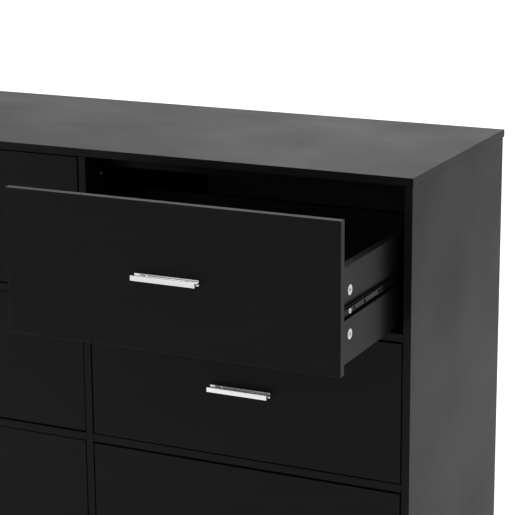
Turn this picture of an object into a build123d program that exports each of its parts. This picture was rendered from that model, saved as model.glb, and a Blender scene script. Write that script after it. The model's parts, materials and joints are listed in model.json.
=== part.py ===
import os
from build123d import *

# Six-drawer double dresser in black laminated board: two columns of three inset drawers on
# side-mounted three-part ball-bearing slides. Millimetres. X runs along the width, Y from the
# front (-) to the back (+), Z up from the floor. The origin is on the floor, under the middle.

# ---- whole piece of furniture
WIDTH = 1050.0
DEPTH = 400.0
BOARD = 12.0
OPENING = 211.0
ROWS = ("top", "middle", "bottom")
COLUMNS = ("left", "right")
GLIDE = 3.0
PLINTH = 52.0
OVERHANG = 1.0
BACK_PANEL = 3.0
EDGE = 0.5

# ---- drawers
GAP = 2.0
BOX_HEIGHT = 132.0
BOX_LENGTH = 350.0
BOX_LIFT = 4.5
BOTTOM_LIFT = 8.0
GROOVE = 5.5
PLAY = 0.1
PULLED_OUT = 217.0

# How far each front sits off the middle of its opening, sideways and up, as fitted by hand.
FRONT_SHIFT = {
    "top_left": (-0.3, 0.2),
    "top_right": (0.0, 0.0),
    "middle_left": (1.0, 1.0),
    "middle_right": (0.3, -0.7),
    "bottom_left": (0.4, 0.9),
    "bottom_right": (-0.2, -0.9),
}

# ---- ball-bearing slides, from the cabinet side (0) to the drawer side (SLIDE_THICK)
SLIDE_THICK = 12.7
SLIDE_LENGTH = 350.0
SLIDE_LIFT = 76.2
SLIDE_SETBACK = 3.0
SLIDE_STEEL = 1.2
OUTER_HALF = 17.5
OUTER_SETBACK = 16.0
OUTER_REACH = (0.0, 11.0)
OUTER_LIP = 2.2
OUTER_SCREWS = (37.0, 165.0, 293.0)
MID_HALF = 12.6
MID_LENGTH = 225.0
MID_SETBACK = 125.0
MID_REACH = (2.4, 10.2)
INNER_HALF = 8.15
INNER_LENGTH = 346.0
INNER_REACH = (7.7, SLIDE_THICK)
INNER_SCREWS = (36.0, 246.0, 326.0)
# How far below the middle line of the drawer member its holes and screws lie.
HOLE_DROP = 0.8
# Slots in the drawer member: distance from its front end, height between round ends, half width.
SLIDE_SLOTS = ((54.5, 4.6, 1.1), (90.0, 2.4, 1.7), (144.0, 2.4, 1.7), (160.5, 4.6, 1.1), (286.0, 2.4, 1.7))

# ---- fittings
CAM_RADIUS = 7.4
CAM_DEPTH = 9.5
CAM_INSET = 45.0
CAM_LIFT = 72.0
CAM_SPREAD = 30.0
CAM_BEVEL = 0.4
BOLT = 2.9
BOLT_INSET = 5.6
BOLT_IN_FRONT = 8.0
PULL_LENGTH = 97.0
PULL_REACH = 14.0
PULL_HALF = 4.1
PULL_LIP_HALF = 3.7
PULL_STEEL = 2.0
PULL_PITCH = 64.0
PULL_BOSS = 2.3
PULL_BOSS_LENGTH = 6.0
PULL_SCREW = 1.5
PULL_SCREW_REACH = 5.0
SLIDE_SCREW = 1.6
BACK_SCREW = 1.4
BOX_SCREW = 2.0
BOTTOM_SCREW = 1.5
DIVIDER_SCREW = 1.2
REAR_SCREW_LIFTS = (36.0, 106.0)
BOTTOM_SCREW_STEPS = (-150.0, 0.0, 150.0)

# ---- sizes that follow
INNER_WIDTH = WIDTH - 2 * OVERHANG
FRONT_Y = -DEPTH / 2 + OVERHANG
BACK_Y = DEPTH / 2 - OVERHANG - BACK_PANEL
BASE_Z = GLIDE + PLINTH
TOP_Z = BASE_Z + BOARD + len(ROWS) * (OPENING + BOARD) - BOARD
BAY_WIDTH = INNER_WIDTH / 2 - 1.5 * BOARD
BAY_CENTRE = BOARD / 2 + BAY_WIDTH / 2
BOX_WIDTH = BAY_WIDTH - 2 * SLIDE_THICK
BOX_Y = FRONT_Y + BOARD
BOX_BACK_Y = BOX_Y + BOX_LENGTH
SLIDE_Y = BOX_Y + SLIDE_SETBACK


def slab(x, y, z, edge=EDGE):
    """A board between the given limits, with its sharp edges broken."""
    size = (x[1] - x[0], y[1] - y[0], z[1] - z[0])
    middle = (sum(x) / 2, sum(y) / 2, sum(z) / 2)
    box = Pos(*middle) * Box(*size)
    return chamfer(box.edges(), edge) if edge else box


def rod(start, direction, radius, length):
    """A round bar from a point along a direction."""
    return Solid.make_cylinder(radius, length, Plane(origin=start, z_dir=direction))


def cross_recess(point, normal, width, depth):
    """Two crossed slots sunk into a face, as for a screwdriver."""
    face = Plane(origin=point, x_dir=(0, 0, 1) if normal[2] == 0 else (1, 0, 0), z_dir=normal)
    bar = Box(width, width / 4, 2 * depth)
    return face.location * (bar + Rot(0, 0, 90) * bar)


def cam_lock(point, normal):
    """A round cam-lock housing whose open face lies at a point, with its driver recess."""
    inward = tuple(-n for n in normal)
    body = rod(point, inward, CAM_RADIUS, CAM_DEPTH)
    body = chamfer(body.edges(), CAM_BEVEL)
    return body - cross_recess(point, normal, 6.4, 2.4)


def cam_pocket(point, normal):
    """The blind hole that a cam lock sits in."""
    inward = tuple(-n for n in normal)
    return rod(point, inward, CAM_RADIUS + PLAY, CAM_DEPTH + 0.3)


def screw(point, normal, head_radius, head_height, shank_radius, shank_length):
    """A pan-head screw whose head stands on a face and whose shank goes into it."""
    inward = tuple(-n for n in normal)
    crown = tuple(p + n * head_height for p, n in zip(point, normal))
    head = rod(point, normal, head_radius, head_height)
    head = chamfer(head.edges().sort_by(lambda e: dot(e.center(), normal))[-1], head_height * 0.4)
    head = head - cross_recess(crown, normal, head_radius * 1.1, head_height * 0.6)
    return head + rod(point, inward, shank_radius, shank_length)


def dot(vector, normal):
    """How far a point lies along a direction."""
    return vector.X * normal[0] + vector.Y * normal[1] + vector.Z * normal[2]


def save(name, solids):
    """One node: a single piece, or a group of separate identical pieces."""
    os.makedirs("parts", exist_ok=True)
    group = Compound(label=name, children=[s.solid() for s in solids])
    export_step(group, f"parts/{name}.step")


def bay_limits(column):
    """The clear width between the boards of one column."""
    centre = BAY_CENTRE if column == "right" else -BAY_CENTRE
    return centre - BAY_WIDTH / 2, centre + BAY_WIDTH / 2


def opening_floor(row):
    """The height of the board that a drawer opening stands on."""
    return TOP_Z - (ROWS.index(row) + 1) * (OPENING + BOARD) + BOARD


# ---------------------------------------------------------------- carcass
STRETCHER_HEIGHT = 25.5
STRETCHER_THICK = 15.0
STRETCHER_SETBACK = 64.0
RAIL_DEPTH = 60.0
PLINTH_SETBACK = 22.0
TOP_CAM_DROP = 30.0
TOP_CAM_Y = (FRONT_Y + 27.0, 0.0, BACK_Y - 40.0)
FLAT_CAM_INSET = 24.0
DIVIDER_SCREW_Z = TOP_Z - 33.3
DIVIDER_SCREW_Y = (FRONT_Y + 45.3, BACK_Y - 45.0)
SIDE_X = INNER_WIDTH / 2 - BOARD


def upright_cams():
    """Cam locks near the top of the three upright boards, as (point, normal)."""
    faces = ((-SIDE_X, 1), (-BOARD / 2, -1), (SIDE_X, -1))
    height = TOP_Z - TOP_CAM_DROP
    return [((x, y, height), (way, 0, 0)) for x, way in faces for y in TOP_CAM_Y]


def flat_cams():
    """Cam locks in the undersides of the rails and the bottom panels, near their ends."""
    places = []
    for column in COLUMNS:
        low, high = bay_limits(column)
        for x in (low + FLAT_CAM_INSET, high - FLAT_CAM_INSET):
            for row in ROWS[:-1]:
                places.append((x, FRONT_Y + RAIL_DEPTH / 2, opening_floor(row) - BOARD))
            places += [(x, y, BASE_Z) for y in (FRONT_Y + 60, BACK_Y - 60)]
    return [(place, (0, 0, -1)) for place in places]


def with_pockets(board, cams):
    """A board with the holes for those cam locks that lie in it."""
    low, high = board.bounding_box().min, board.bounding_box().max
    for (x, y, z), normal in cams:
        inside = low.X - 0.1 < x < high.X + 0.1 and low.Z - 0.1 < z < high.Z + 0.1
        if inside and low.Y < y < high.Y:
            board = board - cam_pocket((x, y, z), normal)
    return board


def slide_member(face, way, height, y, half, reach, web_last=False, lip=0.0):
    """A C-shaped steel channel beside a cabinet board. reach is how far from the board's face it
    starts and ends, along way; the web is at the start, or at the end of the reach if web_last."""
    near, far = reach

    def strip(x, z):
        return slab(sorted(face + way * value for value in x), y, sorted(height + value for value in z), 0)
    at_near = (near, near + SLIDE_STEEL)
    at_far = (far - SLIDE_STEEL, far)
    member = strip(at_far if web_last else at_near, (-half, half))
    for side in (-half, half):
        inward = -1 if side > 0 else 1
        member += strip((near, far), (side, side + inward * SLIDE_STEEL))
        if lip:
            member += strip(at_far, (side, side + inward * lip))
    return member


def slide_outer(column, row, way):
    """A cabinet slide member with its screw holes. way is +1 where it is fixed to a board on its right."""
    low, high = bay_limits(column)
    face = high if way > 0 else low
    height = opening_floor(row) + GAP + SLIDE_LIFT
    start = SLIDE_Y + OUTER_SETBACK
    span = (start, start + SLIDE_LENGTH)
    member = slide_member(face, -way, height, span, OUTER_HALF, OUTER_REACH, lip=OUTER_LIP)
    for (_, y, z), _ in outer_screws(column, row, way):
        member -= rod((face + way, y, z), (-way, 0, 0), SLIDE_SCREW + PLAY, 4)
    return member


def outer_screws(column, row, way):
    """Where a cabinet slide member is screwed to its board."""
    low, high = bay_limits(column)
    face = (high if way > 0 else low) - way * SLIDE_STEEL
    height = opening_floor(row) + GAP + SLIDE_LIFT
    return [((face, SLIDE_Y + OUTER_SETBACK + step, height), (-way, 0, 0)) for step in OUTER_SCREWS]


def back_screws():
    """Screws round the edges of the two back panels."""
    rows = 5
    columns = 4
    places = []
    for column in COLUMNS:
        low, high = bay_limits(column)
        left, right = (low - 6.0, high + 3.0) if column == "left" else (low - 3.0, high + 6.0)
        for step in range(rows):
            height = BASE_Z + 6 + step * (TOP_Z - BASE_Z - 20) / (rows - 1)
            places += [(left, height), (right, height)]
        for step in range(1, columns):
            places.append((left + step * (right - left) / columns, BASE_Z + 6))
    return [((x, BACK_Y + BACK_PANEL, z), (0, 1, 0)) for x, z in places]


def make_carcass():
    cams = upright_cams() + flat_cams()
    top = slab((-WIDTH / 2, WIDTH / 2), (-DEPTH / 2, DEPTH / 2), (TOP_Z, TOP_Z + BOARD))
    save("top_panel", [top])
    uprights = {
        "left_side_panel": (-INNER_WIDTH / 2, -SIDE_X),
        "right_side_panel": (SIDE_X, INNER_WIDTH / 2),
        "centre_divider": (-BOARD / 2, BOARD / 2),
    }
    for name, x in uprights.items():
        board = slab(x, (FRONT_Y, BACK_Y), (GLIDE, TOP_Z))
        save(name, [with_pockets(board, cams)])

    bottoms, rails, stretchers, plinths, backs = [], [], [], [], []
    for column in COLUMNS:
        bay = bay_limits(column)
        bottoms.append(slab(bay, (FRONT_Y, BACK_Y), (BASE_Z, BASE_Z + BOARD)))
        for row in ROWS[:-1]:
            height = opening_floor(row)
            rails.append(slab(bay, (FRONT_Y, FRONT_Y + RAIL_DEPTH), (height - BOARD, height)))
        for y in (FRONT_Y + STRETCHER_SETBACK, BACK_Y - STRETCHER_THICK):
            stretchers.append(slab(bay, (y, y + STRETCHER_THICK), (TOP_Z - STRETCHER_HEIGHT, TOP_Z)))
        for y in (FRONT_Y + PLINTH_SETBACK, BACK_Y - PLINTH_SETBACK - BOARD):
            plinths.append(slab(bay, (y, y + BOARD), (GLIDE, BASE_Z)))
        outer = (-INNER_WIDTH / 2 + 1, -0.5) if column == "left" else (0.5, INNER_WIDTH / 2 - 1)
        back = slab(outer, (BACK_Y, BACK_Y + BACK_PANEL), (BASE_Z, TOP_Z - 0.5), 0.3)
        holes = [place for place, _ in back_screws() if outer[0] < place[0] < outer[1]]
        for x, _, z in holes:
            back -= rod((x, BACK_Y - 1, z), (0, 1, 0), BACK_SCREW + PLAY, BACK_PANEL + 2)
        backs.append(back)
    save("bottom_panels", [with_pockets(board, cams) for board in bottoms])
    save("drawer_rails", [with_pockets(board, cams) for board in rails])
    save("top_stretchers", stretchers)
    save("plinth_boards", plinths)
    save("back_panels", backs)

    glide_places = [(x, y) for x in (-INNER_WIDTH / 2 + BOARD / 2, 0, INNER_WIDTH / 2 - BOARD / 2)
                    for y in (FRONT_Y + 30, BACK_Y - 30)] + [(0, 0)]
    glides = [rod((x, y, 0), (0, 0, 1), 5.0, GLIDE) for x, y in glide_places]
    save("foot_glides", [chamfer(glide.edges().sort_by(Axis.Z)[0], 0.8) for glide in glides])

    runs = [(column, row, way) for column in COLUMNS for row in ROWS for way in (-1, 1)]
    save("slide_outer_members", [slide_outer(*run) for run in runs])
    fittings = [cam_lock(*cam) for cam in cams]
    for run in runs:
        fittings += [screw(*place, 4.0, 0.7, SLIDE_SCREW, 9.0) for place in outer_screws(*run)]
    fittings += [screw(*place, 3.4, 0.9, BACK_SCREW, 12.0) for place in back_screws()]
    divider_face = BOARD / 2
    for y in DIVIDER_SCREW_Y:
        fittings.append(screw((divider_face, y, DIVIDER_SCREW_Z), (1, 0, 0), 1.9, 0.9, DIVIDER_SCREW, 8.0))
    save("carcass_fasteners", fittings)


# ---------------------------------------------------------------- one drawer
def bored(board, places, radius, length):
    """A board with plain holes, each from a point along a direction."""
    for point, direction in places:
        board = board - rod(point, direction, radius, length)
    return board


def make_pull(centre_x, height, face):
    """An I-section bar pull with two round bosses that its screws go into."""
    def bar(y, half):
        return slab((centre_x - PULL_LENGTH / 2, centre_x + PULL_LENGTH / 2), y,
                    (height - half, height + half), 0)
    pull = bar((face - PULL_STEEL, face), PULL_HALF)
    pull += bar((face - PULL_REACH, face - PULL_REACH + PULL_STEEL), PULL_LIP_HALF)
    pull += bar((face - PULL_REACH + 1, face - 1), PULL_STEEL / 2)
    for side in (-1, 1):
        x = centre_x + side * PULL_PITCH / 2
        pull += rod((x, face - PULL_BOSS_LENGTH, height), (0, 1, 0), PULL_BOSS, PULL_BOSS_LENGTH)
        pull -= rod((x, face - PULL_BOSS_LENGTH - PLAY, height), (0, 1, 0), PULL_SCREW + PLAY, PULL_REACH)
    return pull


def make_drawer(column, row):
    name = f"{row}_{column}"
    out = PULLED_OUT if name == "top_right" else 0.0
    low, high = bay_limits(column)
    centre_x = (low + high) / 2
    shift_x, shift_z = FRONT_SHIFT[name]
    front_z = opening_floor(row) + GAP
    front_face = FRONT_Y - out
    front_back = front_face + BOARD
    box_back = BOX_BACK_Y - out
    side_z = (front_z + BOX_LIFT, front_z + BOX_LIFT + BOX_HEIGHT)
    slide_z = front_z + SLIDE_LIFT
    hole_z = slide_z - HOLE_DROP
    bottom_z = side_z[0] + BOTTOM_LIFT
    back_y = box_back - BOARD
    half = BOX_WIDTH / 2
    pull_z = front_z + OPENING / 2 - GAP + shift_z
    inner_half = half - BOARD

    # front, with its groove for the bottom and its two pull holes
    limits_x = (low + GAP + shift_x, high - GAP + shift_x)
    limits_z = (front_z + shift_z, front_z + OPENING - 2 * GAP + shift_z)
    front = slab(limits_x, (front_face, front_back), limits_z)
    reach = inner_half + GROOVE
    groove_z = (bottom_z - PLAY, bottom_z + BACK_PANEL + PLAY)
    groove_x = (centre_x - reach - PLAY, centre_x + reach + PLAY)
    front -= slab(groove_x, (front_back - GROOVE, front_back + 1), groove_z, 0)
    pull_x = [centre_x + side * PULL_PITCH / 2 for side in (-1, 1)]
    front = bored(front, [((x, front_face - 1, pull_z), (0, 1, 0)) for x in pull_x], 2.2, BOARD + 2)
    cam_z = [front_z + CAM_LIFT + CAM_SPREAD, front_z + CAM_LIFT - CAM_SPREAD]
    cam_y = front_back + CAM_INSET
    bolt_start = front_back - BOLT_IN_FRONT
    side_x = {way: centre_x + way * half for way in (-1, 1)}
    bolts = [((side_x[way] - way * BOLT_INSET, bolt_start, z), (0, 1, 0)) for way in (-1, 1) for z in cam_z]
    front = bored(front, bolts, BOLT + PLAY, BOARD)
    save(f"{name}_drawer_front", [front])

    # two sides, with grooves, cam pockets and bolt bores
    sides = []
    rear_screws = []
    for way, x in side_x.items():
        inner = x - way * BOARD
        side = slab(sorted((x, inner)), (front_back, box_back), side_z)
        groove_x = sorted((inner + way * (GROOVE + PLAY), inner - way))
        side -= slab(groove_x, (front_back - 1, box_back + 1), groove_z, 0)
        for z in cam_z:
            side -= cam_pocket((x, cam_y, z), (way, 0, 0))
            side -= rod((x - way * BOLT_INSET, front_back - 1, z), (0, 1, 0), BOLT + PLAY, CAM_INSET - 5)
        for z in REAR_SCREW_LIFTS:
            rear_screws.append(((x, back_y + BOARD / 2, side_z[0] + z), (way, 0, 0)))
            side -= rod((x + way, back_y + BOARD / 2, side_z[0] + z), (-way, 0, 0), BOX_SCREW + PLAY, BOARD + 2)
        sides.append(side)
    save(f"{name}_drawer_sides", sides)

    # back, standing on the bottom panel, and the bottom panel in its grooves
    back_x = (centre_x - inner_half, centre_x + inner_half)
    back = slab(back_x, (back_y, box_back), (bottom_z + BACK_PANEL + PLAY, side_z[1]))
    save(f"{name}_drawer_back", [back])
    bottom_y = (front_back - GROOVE + PLAY, box_back)
    bottom = slab((centre_x - reach, centre_x + reach), bottom_y, (bottom_z, bottom_z + BACK_PANEL), 0)
    low_screws = [((centre_x + step, back_y + BOARD / 2, bottom_z), (0, 0, -1)) for step in BOTTOM_SCREW_STEPS]
    bottom = bored(bottom, [((x, y, z - 1), (0, 0, 1)) for (x, y, z), _ in low_screws], BOTTOM_SCREW + PLAY, 5)
    save(f"{name}_drawer_bottom", [bottom])
    save(f"{name}_drawer_pull", [make_pull(centre_x, pull_z, front_face)])

    # slide member on each side of the box, with its clearance holes, and the loose middle members
    members, mids, slide_screws = [], [], []
    for way, x in side_x.items():
        face = x + way * SLIDE_THICK
        start = SLIDE_Y - out
        member_y = (start, start + INNER_LENGTH)
        member = slide_member(face, -way, slide_z, member_y, INNER_HALF, INNER_REACH, web_last=True)
        screws = [((x + way * SLIDE_STEEL, start + step, hole_z), (way, 0, 0)) for step in INNER_SCREWS]
        screw_holes = [((x - way, y, z), (way, 0, 0)) for (_, y, z), _ in screws]
        member = bored(member, screw_holes, SLIDE_SCREW + PLAY, 4)
        for step, tall, wide in SLIDE_SLOTS:
            member -= rod((x - way, start + step, hole_z), (way, 0, 0), wide, 4)
            for end in (-tall / 2, tall / 2):
                member -= rod((x - way, start + step, hole_z + end), (way, 0, 0), wide, 4)
        members.append(member)
        slide_screws += screws
        mid_y = SLIDE_Y + MID_SETBACK - out / 2
        mids.append(slide_member(face, -way, slide_z, (mid_y, mid_y + MID_LENGTH), MID_HALF, MID_REACH))
    save(f"{name}_drawer_slide_members", members)
    save(f"{name}_slide_mid_members", mids)

    fittings = [cam_lock((x, cam_y, z), (way, 0, 0)) for way, x in side_x.items() for z in cam_z]
    bolt_length = BOLT_IN_FRONT + CAM_INSET - CAM_RADIUS - CAM_BEVEL
    fittings += [rod(point, way, BOLT, bolt_length) for point, way in bolts]
    fittings += [screw(*place, 3.5, 0.8, BOX_SCREW, 32.0) for place in rear_screws]
    fittings += [screw(*place, 3.7, 1.8, SLIDE_SCREW, 9.0) for place in slide_screws]
    shank = BOARD + PULL_SCREW_REACH
    fittings += [screw((x, front_back, pull_z), (0, 1, 0), 4.2, 2.4, PULL_SCREW, shank) for x in pull_x]
    fittings += [screw(*place, 3.4, 1.0, BOTTOM_SCREW, 14.0) for place in low_screws]
    save(f"{name}_drawer_fasteners", fittings)


make_carcass()
for column_name in COLUMNS:
    for row_name in ROWS:
        make_drawer(column_name, row_name)
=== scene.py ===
import json
import math

import bmesh
import bpy
from mathutils import Matrix, Vector


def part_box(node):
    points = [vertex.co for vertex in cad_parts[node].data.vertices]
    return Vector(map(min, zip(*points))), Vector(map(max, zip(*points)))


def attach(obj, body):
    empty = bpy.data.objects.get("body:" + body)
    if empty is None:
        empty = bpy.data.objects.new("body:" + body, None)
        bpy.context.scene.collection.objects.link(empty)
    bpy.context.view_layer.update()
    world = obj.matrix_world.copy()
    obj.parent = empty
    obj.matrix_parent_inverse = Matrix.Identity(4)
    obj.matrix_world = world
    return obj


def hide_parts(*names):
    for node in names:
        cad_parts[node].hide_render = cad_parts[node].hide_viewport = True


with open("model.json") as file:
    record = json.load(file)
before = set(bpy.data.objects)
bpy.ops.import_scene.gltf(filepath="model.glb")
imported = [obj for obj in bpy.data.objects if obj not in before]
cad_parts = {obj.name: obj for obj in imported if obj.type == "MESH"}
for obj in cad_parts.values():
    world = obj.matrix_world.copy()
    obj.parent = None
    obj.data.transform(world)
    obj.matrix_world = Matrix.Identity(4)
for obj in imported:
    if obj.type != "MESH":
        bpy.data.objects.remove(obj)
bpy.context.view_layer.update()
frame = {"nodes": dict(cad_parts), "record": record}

TOP_LOW, TOP_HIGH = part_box("top_panel")


# ---------------------------------------------------------------- camera
# The camera stands in front, to the right of and above the dresser. Its place is measured from the
# top board's front right corner, and its small shift frames the right-hand part of the dresser.
CAMERA_FROM_CORNER = (0.8410, -2.2369, 0.5120)
CAMERA_YAW = 0.4367
CAMERA_PITCH = 0.2266
CAMERA_ROLL = 0.0045
CAMERA_LENS = 125.3
CAMERA_SENSOR = 36.0
CAMERA_SHIFT = (-0.04, -0.10)
CAMERA_CLIP = (0.05, 100.0)


def make_camera():
    data = bpy.data.cameras.new("camera")
    data.sensor_width = CAMERA_SENSOR
    data.lens = CAMERA_LENS
    data.shift_x, data.shift_y = CAMERA_SHIFT
    data.clip_start, data.clip_end = CAMERA_CLIP
    camera = bpy.data.objects.new("camera", data)
    bpy.context.scene.collection.objects.link(camera)
    corner = Vector((TOP_HIGH.x, TOP_LOW.y, TOP_HIGH.z))
    turn = (
        Matrix.Rotation(CAMERA_YAW, 4, "Z")
        @ Matrix.Rotation(math.pi / 2 - CAMERA_PITCH, 4, "X")
        @ Matrix.Rotation(-CAMERA_ROLL, 4, "Z")
    )
    camera.matrix_world = Matrix.Translation(corner + Vector(CAMERA_FROM_CORNER)) @ turn
    bpy.context.scene.camera = camera


# ---------------------------------------------------------------- light and floor
# The studio is white all round. Its strength depends on how far left (-1) or right (+1) a direction
# points: it is dim at the far left, rises at WORLD_TURN and falls a little at WORLD_FALL_TURN. The
# floor also glows under and behind the dresser, and less and less in front of it and to its right.
WORLD_LEFT, WORLD_RIGHT = 0.93, 1.37
WORLD_TURN = (-0.62, -0.34)
WORLD_FALL = 0.3
WORLD_FALL_TURN = (-0.15, 0.25)
FLOOR_SIZE = 30.0
FLOOR_GREYS = (0.75, 0.79)
FLOOR_ROUGHNESS = 0.8
FLOOR_GLOW = (0.46, 0.0)
FLOOR_GLOW_REACH = (0.0, 1.6)


def make_world():
    world = bpy.data.worlds.new("white_studio")
    world.use_nodes = True
    tree = world.node_tree
    background = tree.nodes["Background"]
    background.inputs["Color"].default_value = (1.0, 1.0, 1.0, 1.0)
    place = tree.nodes.new("ShaderNodeTexCoord")
    split = tree.nodes.new("ShaderNodeSeparateXYZ")
    tree.links.new(place.outputs["Generated"], split.inputs["Vector"])
    strength = tree.nodes.new("ShaderNodeMath")
    steps = ((*WORLD_TURN, WORLD_LEFT, WORLD_RIGHT), (*WORLD_FALL_TURN, 0.0, -WORLD_FALL))
    for index, values in enumerate(steps):
        turn = tree.nodes.new("ShaderNodeMapRange")
        turn.interpolation_type = "SMOOTHSTEP"
        for key, value in zip(("From Min", "From Max", "To Min", "To Max"), values):
            turn.inputs[key].default_value = value
        tree.links.new(split.outputs["X"], turn.inputs["Value"])
        tree.links.new(turn.outputs["Result"], strength.inputs[index])
    tree.links.new(strength.outputs["Value"], background.inputs["Strength"])
    bpy.context.scene.world = world
    bpy.context.scene.view_settings.view_transform = "Standard"


def make_floor():
    """A pale matt floor with a soft fall-off of light to the front and to the right."""
    half = FLOOR_SIZE / 2
    corners = [(-half, -half, 0), (half, -half, 0), (half, half, 0), (-half, half, 0)]
    mesh = bpy.data.meshes.new("floor")
    mesh.from_pydata(corners, [], [(0, 1, 2, 3)])
    floor = bpy.data.objects.new("floor", mesh)
    bpy.context.scene.collection.objects.link(floor)
    nodes = Nodes("pale_floor")
    place = nodes.add("ShaderNodeTexCoord").outputs["Object"]
    split = nodes.add("ShaderNodeSeparateXYZ", {"Vector": place})
    rightwards = nodes.math("SUBTRACT", split.outputs["X"], TOP_HIGH.x)
    forwards = nodes.math("SUBTRACT", TOP_LOW.y, split.outputs["Y"])
    glow = nodes.ramp(nodes.math("MAXIMUM", rightwards, forwards), *FLOOR_GLOW_REACH, *FLOOR_GLOW)
    speck = nodes.noise(nodes.coordinates(EVEN), 40.0, detail=5.0)
    nodes.shade(Base_Color=nodes.mix(speck, *map(grey, FLOOR_GREYS)), Roughness=FLOOR_ROUGHNESS)
    nodes.shade(Emission_Color=(1.0, 1.0, 1.0, 1.0), Emission_Strength=glow)
    nodes.shader.inputs["Specular IOR Level"].default_value = 0.2
    mesh.materials.append(nodes.material)


# ---------------------------------------------------------------- materials
class Nodes:
    """Short ways to add and link shader nodes in one material."""

    def __init__(self, name):
        self.material = bpy.data.materials.new(name)
        self.material.use_nodes = True
        self.tree = self.material.node_tree
        self.shader = self.tree.nodes["Principled BSDF"]

    def add(self, kind, inputs=None, **settings):
        node = self.tree.nodes.new(kind)
        for key, value in settings.items():
            setattr(node, key, value)
        for key, value in (inputs or {}).items():
            self.set(node, key, value)
        return node

    def set(self, node, key, value):
        socket = node.inputs[key]
        if isinstance(value, bpy.types.NodeSocket):
            self.tree.links.new(value, socket)
        else:
            socket.default_value = value

    def shade(self, **inputs):
        for key, value in inputs.items():
            self.set(self.shader, key.replace("_", " "), value)

    def coordinates(self, scale):
        place = self.add("ShaderNodeTexCoord").outputs["Object"]
        return self.add("ShaderNodeMapping", {"Vector": place, "Scale": scale}).outputs["Vector"]

    def noise(self, vector, scale, detail=4.0, roughness=0.5, distortion=0.0):
        inputs = {"Vector": vector, "Scale": scale, "Detail": detail}
        inputs.update({"Roughness": roughness, "Distortion": distortion})
        return self.add("ShaderNodeTexNoise", inputs).outputs["Fac"]

    def ramp(self, value, low, high, out_low, out_high):
        inputs = {"Value": value, "From Min": low, "From Max": high}
        inputs.update({"To Min": out_low, "To Max": out_high})
        return self.add("ShaderNodeMapRange", inputs).outputs["Result"]

    def spread(self, noise, low, high):
        """A noise, most of whose values lie in NOISE_SPREAD, turned into values from low to high."""
        return self.ramp(noise, *NOISE_SPREAD, low, high)

    def mix(self, factor, first, second):
        inputs = {"Factor": factor, "A": first, "B": second}
        return self.add("ShaderNodeMix", inputs, data_type="RGBA").outputs["Result"]

    def math(self, operation, first, second):
        inputs = {0: first, 1: second}
        return self.add("ShaderNodeMath", inputs, operation=operation).outputs["Value"]

    def bump(self, height, strength, distance):
        inputs = {"Height": height, "Strength": strength, "Distance": distance}
        return self.add("ShaderNodeBump", inputs).outputs["Normal"]


# All greys are a trace bluer than neutral.
BLUE_CAST = 1.02


def grey(value):
    return (value, value, value * BLUE_CAST, 1.0)


# Where most of a noise's values lie, the scale of a noise with no direction, and the scales of the
# wood grain, whose pores are a few times finer than its figure.
NOISE_SPREAD = (0.3, 0.7)
EVEN = [1.0] * 3
GRAIN_ALONG, GRAIN_ACROSS = 2.2, 60.0
PORES_FINER = 3


def laminate(name, grain_axis):
    """Black melamine with a faint wood-pore emboss that runs along one axis."""
    nodes = Nodes(name)
    scale = [GRAIN_ALONG if axis == grain_axis else GRAIN_ACROSS for axis in "XYZ"]
    finer = [value * PORES_FINER for value in scale]
    grain = nodes.noise(nodes.coordinates(scale), 3.0, detail=6.0, roughness=0.62, distortion=0.4)
    pores = nodes.noise(nodes.coordinates(finer), 4.0, detail=3.0, roughness=0.6)
    cloud = nodes.noise(nodes.coordinates(EVEN), 5.0, detail=3.0)
    figure = nodes.ramp(grain, 0.35, 0.7, 0.0, 1.0)
    pits = nodes.ramp(pores, 0.56, 0.7, 0.0, 1.0)
    colour = nodes.mix(figure, grey(0.0028), grey(0.0042))
    smudges = nodes.spread(cloud, 0.36, 0.44)
    rough = nodes.math("ADD", smudges, nodes.math("MULTIPLY", pits, 0.08))
    height = nodes.math("SUBTRACT", nodes.math("MULTIPLY", grain, 0.5), pits)
    nodes.shade(Base_Color=colour, Roughness=rough, Normal=nodes.bump(height, 0.08, 0.0002))
    nodes.shader.inputs["Specular IOR Level"].default_value = 0.088
    return nodes.material


def hardboard():
    """Matt black hardboard with short pressed fibres."""
    nodes = Nodes("black_hardboard")
    fibres = nodes.noise(nodes.coordinates(EVEN), 900.0, detail=3.0, roughness=0.7)
    cloud = nodes.noise(nodes.coordinates(EVEN), 9.0)
    nodes.shade(Base_Color=nodes.mix(cloud, grey(0.04), grey(0.06)))
    nodes.shade(Roughness=nodes.spread(fibres, 0.55, 0.7))
    nodes.shade(Normal=nodes.bump(fibres, 0.2, 0.0002))
    nodes.shader.inputs["Specular IOR Level"].default_value = 0.2
    return nodes.material


def chrome():
    """Bright pull with faint lengthwise polishing lines."""
    nodes = Nodes("bright_pull")
    lines = nodes.noise(nodes.coordinates([6.0, 900.0, 900.0]), 2.0, detail=3.0)
    smears = nodes.noise(nodes.coordinates([30.0] * 3), 2.0)
    nodes.shade(Base_Color=nodes.mix(smears, grey(0.78), grey(0.86)), Metallic=1.0)
    nodes.shade(Roughness=nodes.spread(lines, 0.16, 0.24))
    nodes.shade(Normal=nodes.bump(lines, 0.05, 0.0001))
    return nodes.material


def zinc():
    """Bright zinc-plated fastener."""
    nodes = Nodes("zinc_fittings")
    spangle = nodes.noise(nodes.coordinates(EVEN), 700.0, detail=2.0)
    nodes.shade(Base_Color=nodes.mix(spangle, grey(0.58), grey(0.72)), Metallic=0.85)
    nodes.shade(Roughness=nodes.spread(spangle, 0.36, 0.5))
    nodes.shade(Normal=nodes.bump(spangle, 0.1, 0.0001))
    return nodes.material


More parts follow.
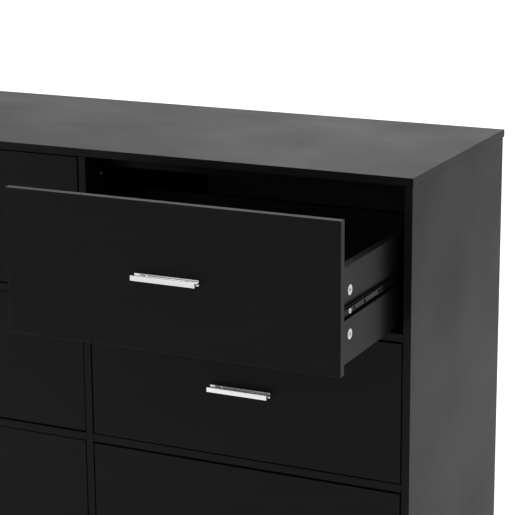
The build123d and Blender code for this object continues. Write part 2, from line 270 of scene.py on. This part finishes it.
def slide_steel():
    """Black electro-coated sheet steel with drawn lines along its length."""
    nodes = Nodes("slide_steel")
    drawn = nodes.noise(nodes.coordinates([800.0, 5.0, 800.0]), 2.0, detail=3.0)
    scuffs = nodes.noise(nodes.coordinates(EVEN), 120.0, detail=4.0)
    worn = nodes.ramp(scuffs, 0.45, 0.7, 0.0, 1.0)
    nodes.shade(Base_Color=nodes.mix(worn, grey(0.002), grey(0.005)))
    nodes.shade(Roughness=nodes.spread(drawn, 0.12, 0.2))
    nodes.shade(Normal=nodes.bump(drawn, 0.08, 0.0001))
    nodes.shader.inputs["Specular IOR Level"].default_value = 0.055
    return nodes.material


def painted_slide_shade():
    """Painted shade: a dull, near-black film along the ball races and in the slots of a drawer's
    slides, where shade falls.
    """
    nodes = Nodes("painted_slide_shade")
    mottle = nodes.noise(nodes.coordinates(EVEN), 260.0, detail=3.0)
    nodes.shade(Base_Color=nodes.mix(mottle, grey(0.0005), grey(0.0012)))
    nodes.shade(Roughness=nodes.spread(mottle, 0.35, 0.5))
    nodes.shade(Normal=nodes.bump(mottle, 0.1, 0.0001))
    nodes.shader.inputs["Specular IOR Level"].default_value = 0.005
    return nodes.material


def plastic():
    """Moulded black plastic."""
    nodes = Nodes("black_plastic")
    spark = nodes.noise(nodes.coordinates(EVEN), 1500.0, detail=2.0)
    nodes.shade(Base_Color=nodes.mix(spark, grey(0.012), grey(0.02)))
    nodes.shade(Roughness=nodes.spread(spark, 0.5, 0.6))
    nodes.shade(Normal=nodes.bump(spark, 0.15, 0.0001))
    return nodes.material


# ---------------------------------------------------------------- finishing the CAD nodes
# The grain of the boards runs along X, except on these.
UPRIGHT = ("left_side_panel", "right_side_panel", "centre_divider")
ALONG_Y = "drawer_sides"


def finish_nodes():
    """Give every CAD node its material, and return the materials by their slots."""
    level = laminate("laminate_x", "X")
    upright = laminate("laminate_z", "Z")
    deep = laminate("laminate_y", "Y")
    by_slot = {
        "black_hardboard": hardboard(),
        "bright_pull": chrome(),
        "zinc_fittings": zinc(),
        "slide_steel": slide_steel(),
        "black_plastic": plastic(),
    }
    slots = {part["node"]: part["material_slot"] for part in frame["record"]["subparts"]}
    for name, node in frame["nodes"].items():
        if name in UPRIGHT:
            material = upright
        elif name.endswith(ALONG_Y):
            material = deep
        else:
            material = by_slot.get(slots[name], level)
        node.data.materials.clear()
        node.data.materials.append(material)
    return by_slot


# ---------------------------------------------------------------- detailed metal pieces
MM = 0.001
ROWS = ("top", "middle", "bottom")
COLUMNS = ("left", "right")
# How many steps make a rounded corner, how many rings a rounded end, and how many sides a boss; and
# the angle below which an edge is shaded smooth.
ARC_STEPS = 5
END_RINGS = 4
BOSS_SIDES = 28
SMOOTH_ANGLE = math.radians(35)


def rounded(corners):
    """An outline from (x, y, radius) corners, each corner turned into an arc."""
    outline = []
    count = len(corners)
    for index, (x, y, radius) in enumerate(corners):
        here = Vector((x, y))
        before = (Vector(corners[index - 1][:2]) - here).normalized()
        after = (Vector(corners[(index + 1) % count][:2]) - here).normalized()
        half_angle = before.angle(after) / 2
        reach = radius / math.tan(half_angle)
        centre = here + (before + after).normalized() * radius / math.sin(half_angle)
        start, end = here + before * reach - centre, here + after * reach - centre
        sweep = start.angle_signed(end)
        for step in range(ARC_STEPS + 1):
            turn = Matrix.Rotation(-sweep * step / ARC_STEPS, 2)
            outline.append(centre + turn @ start)
    return outline


def shrunk(outline, distance):
    """The same outline moved inwards."""
    count = len(outline)
    moved = []
    for index, point in enumerate(outline):
        along = (outline[(index + 1) % count] - outline[index - 1]).normalized()
        moved.append(point + Vector((-along.y, along.x)) * distance)
    return moved


def skinned(name, rings):
    """A closed mesh through rings of points, with a face on the first and the last."""
    bm = bmesh.new()
    loops = [[bm.verts.new(point) for point in ring] for ring in rings]
    for first, second in zip(loops, loops[1:]):
        for index in range(len(first)):
            bm.faces.new((first[index - 1], first[index], second[index], second[index - 1]))
    bm.faces.new(loops[0])
    bm.faces.new(loops[-1][::-1])
    bmesh.ops.recalc_face_normals(bm, faces=bm.faces)
    mesh = bpy.data.meshes.new(name)
    bm.to_mesh(mesh)
    bm.free()
    return mesh


def extruded(name, outline, place, span, round_off):
    """A solid bar of one outline, with rounded ends. place(across, up, along) gives a point."""
    stations = []
    for side, start in ((1, span[0]), (-1, span[1])):
        ends = []
        for step in range(END_RINGS):
            angle = step / (END_RINGS - 1) * math.pi / 2
            inset = round_off * (1 - math.sin(angle))
            ends.append((start + side * round_off * (1 - math.cos(angle)), inset))
        stations += ends if side > 0 else ends[::-1]
    rings = []
    for along, inset in stations:
        rings.append([place(p.x, p.y, along) for p in shrunk(outline, inset)])
    return skinned(name, rings)


def boss(place, radius, span):
    """A short round boss with a rounded tip, along the depth of a pull."""
    start, end = span
    stations = [
        (start, radius - BOSS_FILLET),
        (start + BOSS_FILLET * 0.3, radius - BOSS_FILLET * 0.3),
        (start + BOSS_FILLET, radius),
        (end, radius),
    ]
    rings = []
    for along, size in stations:
        ring = []
        for side in range(BOSS_SIDES):
            angle = 2 * math.pi * side / BOSS_SIDES
            ring.append(place(along, size * math.cos(angle), size * math.sin(angle)))
        rings.append(ring)
    return skinned("boss", rings)


def one_piece(name, meshes, materials):
    """One object from several meshes, shaded smooth across shallow edges."""
    bm = bmesh.new()
    for mesh in meshes:
        bm.from_mesh(mesh)
        bpy.data.meshes.remove(mesh)
    mesh = bpy.data.meshes.new(name)
    for edge in bm.edges:
        edge.smooth = len(edge.link_faces) == 2 and edge.calc_face_angle(math.pi) < SMOOTH_ANGLE
    for face in bm.faces:
        face.smooth = True
    bm.to_mesh(mesh)
    bm.free()
    for material in materials:
        mesh.materials.append(material)
    piece = bpy.data.objects.new(name, mesh)
    bpy.context.scene.collection.objects.link(piece)
    return piece


# Bar pulls: half heights of the two flanges, thickness of the metal, rounding of its outer and
# inner edges and of its ends, and its two bosses, which stop just short of the drawer's front.
FRONT_FLANGE, BACK_FLANGE = 3.7 * MM, 4.1 * MM
PULL_STEEL = 2.0 * MM
PULL_EDGE, PULL_INNER, PULL_END = 0.45 * MM, 0.7 * MM, 0.35 * MM
PULL_PITCH = 64.0 * MM
BOSS_LENGTH, BOSS_RADIUS = 6.0 * MM, 2.3 * MM
BOSS_FILLET = 0.5 * MM
BOSS_SHORT = 0.2 * MM


def make_pull(node, body, material):
    """A bar pull: a rounded I-section with two bosses for its screws."""
    low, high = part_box(node)
    height = (low.z + high.z) / 2
    middle = (low.x + high.x) / 2
    stations = (
        (low.y, FRONT_FLANGE, PULL_EDGE),
        (low.y + PULL_STEEL, FRONT_FLANGE, PULL_EDGE),
        (low.y + PULL_STEEL, PULL_STEEL / 2, PULL_INNER),
        (high.y - PULL_STEEL, PULL_STEEL / 2, PULL_INNER),
        (high.y - PULL_STEEL, BACK_FLANGE, PULL_EDGE),
        (high.y, BACK_FLANGE, PULL_EDGE),
    )
    corners = [(y, -half, radius) for y, half, radius in stations]
    corners += [(y, half, radius) for y, half, radius in reversed(stations)]
    span = (low.x, high.x)
    bar = extruded(node, rounded(corners), lambda y, z, x: (x, y, height + z), span, PULL_END)
    meshes = [bar]
    for side in (-1, 1):
        x = middle + side * PULL_PITCH / 2
        span = (high.y - BOSS_LENGTH, high.y - BOSS_SHORT)
        meshes.append(boss(lambda y, u, v: (x + u, y, height + v), BOSS_RADIUS, span))
    piece = one_piece(node.replace("_drawer_pull", "_bar_pull"), meshes, [material])
    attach(piece, body)
    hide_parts(node)


# Slide members: thickness, bend radius, rounding of the ends, and how many steps make a flange and
# a bend.
SHEET = 1.2 * MM
BEND = 1.6 * MM
LIP_BEND = 0.5 * MM
MEMBER_END = 0.2 * MM
FLANGE_STEPS, BEND_STEPS = 20, 5
# How far each kind of member reaches out from its web, and its ball race: distance from the plane
# of the web, half width and depth.
DRAWER_REACH, DRAWER_RACE = 5.0 * MM, (3.6 * MM, 1.3 * MM, 0.6 * MM)
MIDDLE_REACH, MIDDLE_RACE = 7.8 * MM, (4.4 * MM, 2.4 * MM, 0.7 * MM)
CABINET_REACH, CABINET_RACE = 11.0 * MM, (5.4 * MM, 2.6 * MM, 0.7 * MM)
CABINET_HALF, CABINET_LIP = 17.5 * MM, 2.2 * MM
# The strip of a drawer member's web that is left lit, free of painted shade, below and above its
# middle line, and how near a face has to be to the web's outer side to belong to it.
WEB_LIT = (-5.35 * MM, 3.0 * MM)
NEAR = 0.1 * MM
# The slots sunk into a drawer member lie SLOT_DROP below its middle line and leave SLOT_FLOOR of
# the sheet, and their cutters start well outside it, at SLOT_CUT. Each slot is given in
# millimetres: place from the member's front end, height between its round ends, half width.
# The floors and walls of the slots get painted shade, which stands in for the dark seen through real
# holes.
SLOT_DROP = 1.2 * MM
SLOT_FLOOR = 0.1 * MM
SLOT_CUT = 3.0 * MM
SLOT_SIDES = 24
SLOTS = ((54.0, 2.6, 1.8), (89.5, 0.4, 2.8), (140.5, 0.4, 2.8), (163.5, 2.6, 1.8), (286.0, 0.4, 2.8))


def rolled(tip, half, race, lip=0.0, seams=()):
    """The outline of a rolled steel channel. Its web starts at 0 and its flanges reach out to tip,
    with a ball race along each. lip is the depth of the turned edge on each flange, if any. seams
    are heights where the web is split into strips."""
    race_place, race_half, race_depth = race
    centre = half - SHEET / 2
    upper = []
    if lip:
        edge = tip - SHEET / 2
        upper += [Vector((edge, centre - lip + SHEET / 2)), Vector((edge, centre - LIP_BEND))]
        tip = edge - LIP_BEND
    back = SHEET / 2 + BEND
    for step in range(FLANGE_STEPS + 1):
        out = tip + (back - tip) * step / FLANGE_STEPS
        inside = min(abs(out - race_place) / race_half, 1.0)
        upper.append(Vector((out, centre - race_depth * math.cos(inside * math.pi / 2) ** 2)))
    for step in range(1, BEND_STEPS + 1):
        angle = step / BEND_STEPS * math.pi / 2
        upper.append(Vector((back - BEND * math.sin(angle), centre - BEND * (1 - math.cos(angle)))))
    strips = [Vector((SHEET / 2, seam)) for seam in seams]
    path = upper + strips + [Vector((p.x, -p.y)) for p in reversed(upper)]
    outer, inner = [], []
    for index, point in enumerate(path):
        along = (path[min(index + 1, len(path) - 1)] - path[max(index - 1, 0)]).normalized()
        aside = Vector((-along.y, along.x)) * SHEET / 2
        outer.append(point + aside)
        inner.append(point - aside)
    outline = outer + inner[::-1]
    area = sum(outline[i - 1].cross(outline[i]) for i in range(len(outline)))
    return outline if area > 0 else outline[::-1]


def make_member(name, outline, face, way, height, span):
    """One slide member along Y. Its web starts at face and its flanges point along way."""
    return extruded(name, outline, lambda u, v, y: (face + way * u, y, height + v), span, MEMBER_END)


def cut_slots(mesh, face, way, front, height):
    """The mesh of a drawer member with its slots sunk into the web."""
    cutters = []
    for place, tall, wide in SLOTS:
        reach, radius = tall / 2 * MM, wide * MM
        middle = Vector((front + place * MM, height - SLOT_DROP))
        outline = []
        for step in range(SLOT_SIDES):
            angle = 2 * math.pi * (step + 0.5) / SLOT_SIDES
            up = reach if math.sin(angle) > 0 else -reach
            outline.append(Vector((radius * math.cos(angle), up + radius * math.sin(angle))))
        span = sorted((face + way * SLOT_FLOOR, face + way * SLOT_CUT))
        cutter = extruded("slot", outline, lambda y, z, x: (x, middle.x + y, middle.y + z), span, 0.0)
        cutters.append(cutter)
    cutter = one_piece("slot_cutter", cutters, [])
    member = bpy.data.objects.new("uncut", mesh)
    bpy.context.scene.collection.objects.link(member)
    cut = member.modifiers.new("slots", "BOOLEAN")
    cut.operation, cut.solver, cut.object = "DIFFERENCE", "EXACT", cutter
    bpy.context.view_layer.update()
    cut_member = member.evaluated_get(bpy.context.evaluated_depsgraph_get())
    result = bpy.data.meshes.new_from_object(cut_member)
    for done in (member, cutter):
        bpy.data.objects.remove(done)
    return result


def paint_slide_shade(mesh, face, height, half):
    """Leave the lit strip of web and the top of the upper flange in the first material, and give the
    second one, painted shade, to the rest of a drawer member."""
    for polygon in mesh.polygons:
        out, up = abs(polygon.center.x - face), polygon.center.z - height
        on_web = abs(polygon.normal.x) > 0.5 and abs(out - SHEET) < NEAR
        lit_web = on_web and WEB_LIT[0] < up < WEB_LIT[1]
        lit_top = polygon.normal.z > 0.5 and up > half / 2
        polygon.material_index = 0 if lit_web or lit_top else 1


def make_drawer_members(node, body, material, slide_shade):
    """The two members fixed to a drawer's sides, rolled with a ball race in each flange."""
    low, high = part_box(node)
    height, half = (low.z + high.z) / 2, (high.z - low.z) / 2
    outline = rolled(DRAWER_REACH, half, DRAWER_RACE, seams=(WEB_LIT[1],))
    meshes = []
    for way, face in ((-1, low.x + DRAWER_REACH), (1, high.x - DRAWER_REACH)):
        member = make_member(node, outline, face, way, height, (low.y, high.y))
        member = cut_slots(member, face, way, low.y, height)
        # Painted shade on the slots, flanges and lower web, where shade falls on a real slide.
        paint_slide_shade(member, face, height, half)
        meshes.append(member)
    finish_slide(node, body, meshes, [material, slide_shade])


def make_middle_members(node, body, material):
    """The two loose middle members of a drawer's slides."""
    low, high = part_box(node)
    height, half = (low.z + high.z) / 2, (high.z - low.z) / 2
    outline = rolled(MIDDLE_REACH, half, MIDDLE_RACE)
    meshes = []
    for way, face in ((1, low.x), (-1, high.x)):
        meshes.append(make_member(node, outline, face, way, height, (low.y, high.y)))
    finish_slide(node, body, meshes, [material])


def make_cabinet_members(material):
    """The twelve members fixed to the boards of the carcass, in one piece."""
    low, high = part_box("slide_outer_members")
    divider_low, divider_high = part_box("centre_divider")
    outline = rolled(CABINET_REACH, CABINET_HALF, CABINET_RACE, lip=CABINET_LIP)
    faces = ((1, low.x), (-1, divider_low.x), (1, divider_high.x), (-1, high.x))
    meshes = []
    for row in ROWS:
        inner_low, inner_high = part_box(f"{row}_left_drawer_slide_members")
        height = (inner_low.z + inner_high.z) / 2
        for way, face in faces:
            meshes.append(make_member("member", outline, face, way, height, (low.y, high.y)))
    finish_slide("slide_outer_members", "carcass", meshes, [material])


def finish_slide(node, body, meshes, materials):
    """Join the members of one CAD node, which they replace on its body."""
    piece = one_piece(node.replace("members", "channels"), meshes, materials)
    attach(piece, body)
    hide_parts(node)


def make_slides(material, slide_shade):
    make_cabinet_members(material)
    for row in ROWS:
        for column in COLUMNS:
            name = f"{row}_{column}"
            make_drawer_members(f"{name}_drawer_slide_members", f"{name}_drawer", material, slide_shade)
            make_middle_members(f"{name}_slide_mid_members", f"{name}_slide_mids", material)


def make_pulls(material):
    for row in ROWS:
        for column in COLUMNS:
            make_pull(f"{row}_{column}_drawer_pull", f"{row}_{column}_drawer", material)


make_camera()
make_world()
make_floor()
materials = finish_nodes()
make_pulls(materials["bright_pull"])
# The slides' second material is painted shade for their slots, flanges and lower web.
make_slides(materials["slide_steel"], painted_slide_shade())

bpy.context.view_layer.update()
